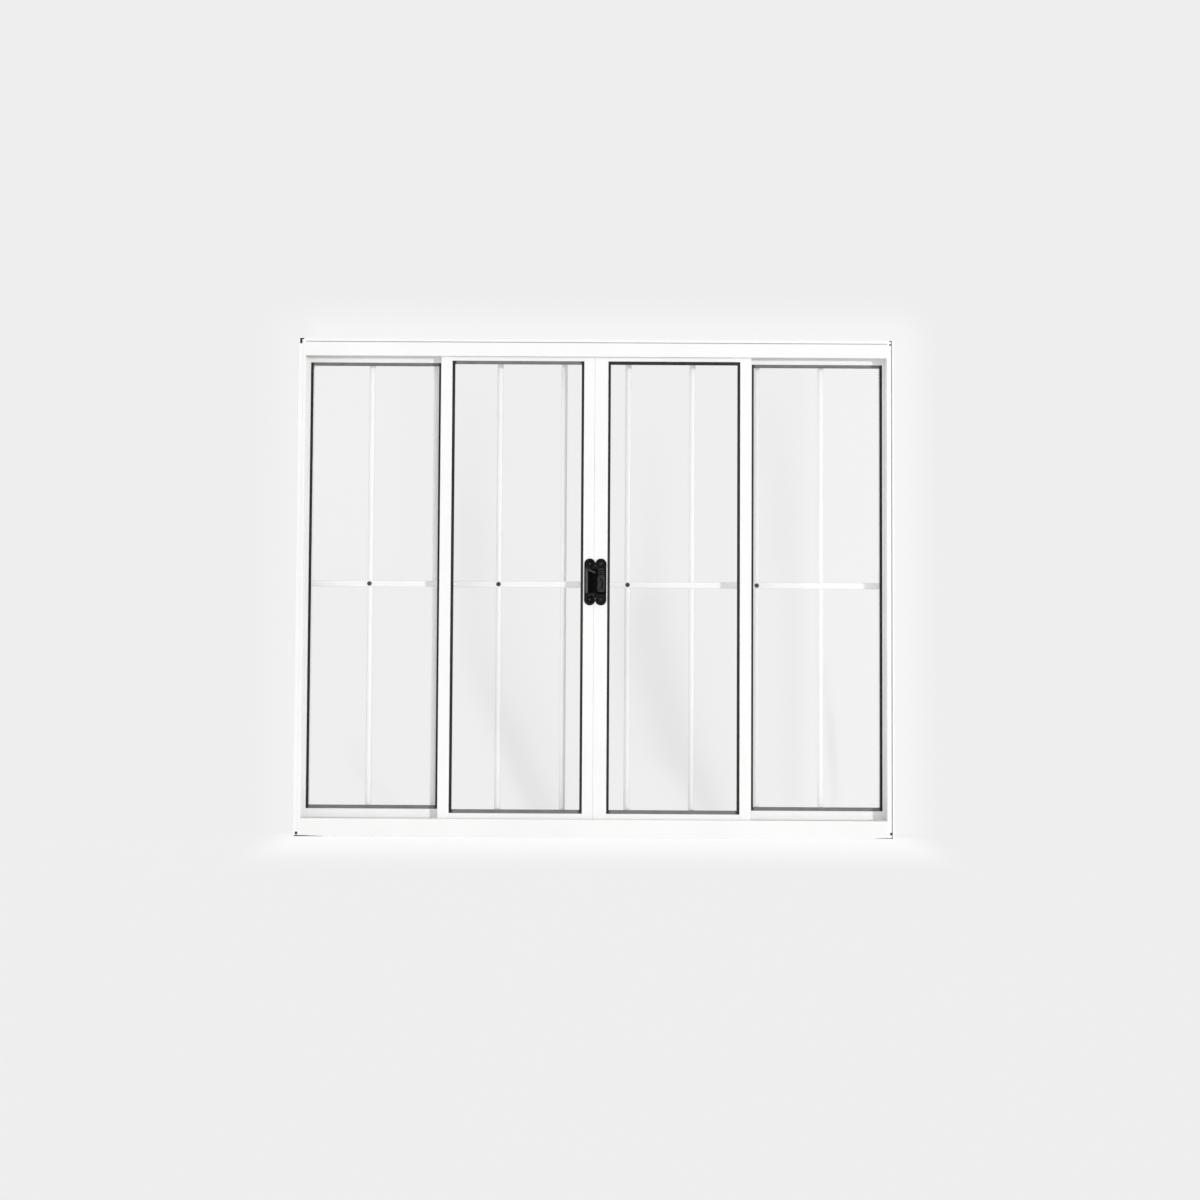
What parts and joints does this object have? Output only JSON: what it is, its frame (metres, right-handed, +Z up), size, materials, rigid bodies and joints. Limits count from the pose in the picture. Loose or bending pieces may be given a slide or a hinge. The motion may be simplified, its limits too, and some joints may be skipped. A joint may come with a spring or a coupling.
{
  "type": "sliding window",
  "caption": "White aluminium sliding window: two sliding centre leaves between two fixed leaves, black glazing gaskets, a black shell latch and a fixed bar grille outside.",
  "frame": {"origin": "centre of the underside of the sill", "axes": "+X along the window's width, to the right seen from the room; +Y from the room towards the outdoors; +Z up"},
  "size_m": [1.2, 0.08, 1],
  "materials": {
    "frame_paint": "white powder coat, satin",
    "leaf_paint": "white powder coat, satin",
    "grille_paint": "white powder coat, satin",
    "clear_glass": "clear float glass",
    "black_gasket": "matt black glazing gasket",
    "black_rubber": "matt black corner seal",
    "rivet_black": "black rivet heads",
    "latch_black": "black moulded plastic, satin",
    "latch_lever": "dark grey-black moulded plastic, satin",
    "screw_black": "black coated screw heads"
  },
  "bodies": {
    "root": {"frame_head": "frame_paint", "frame_sill": "frame_paint", "frame_jamb_left": "frame_paint", "frame_jamb_right": "frame_paint", "corner_seals": "black_rubber", "fixed_left_outer_stile": "leaf_paint", "fixed_left_inner_stile": "leaf_paint", "fixed_left_top_rail": "leaf_paint", "fixed_left_bottom_rail": "leaf_paint", "fixed_left_glass": "clear_glass", "fixed_left_gasket": "black_gasket", "sliding_left_outer_stile": "leaf_paint", "sliding_left_meeting_stile": "leaf_paint", "sliding_left_top_rail": "leaf_paint", "sliding_left_bottom_rail": "leaf_paint", "sliding_left_glass": "clear_glass", "sliding_left_gasket": "black_gasket", "sliding_right_outer_stile": "leaf_paint", "sliding_right_meeting_stile": "leaf_paint", "sliding_right_top_rail": "leaf_paint", "sliding_right_bottom_rail": "leaf_paint", "sliding_right_glass": "clear_glass", "sliding_right_gasket": "black_gasket", "fixed_right_outer_stile": "leaf_paint", "fixed_right_inner_stile": "leaf_paint", "fixed_right_top_rail": "leaf_paint", "fixed_right_bottom_rail": "leaf_paint", "fixed_right_glass": "clear_glass", "fixed_right_gasket": "black_gasket", "grille_bar_1": "grille_paint", "grille_bar_2": "grille_paint", "grille_bar_3": "grille_paint", "grille_bar_4": "grille_paint", "grille_bar_5": "grille_paint", "grille_bar_6": "grille_paint", "grille_bar_7": "grille_paint", "grille_bar_8": "grille_paint", "grille_crossbar": "grille_paint", "grille_rivets": "rivet_black", "latch_shell_left": "latch_black", "latch_shell_right": "latch_black", "latch_hook_lever": "latch_lever", "latch_slider": "latch_lever", "latch_screws": "screw_black"}
  },
  "joints": []
}
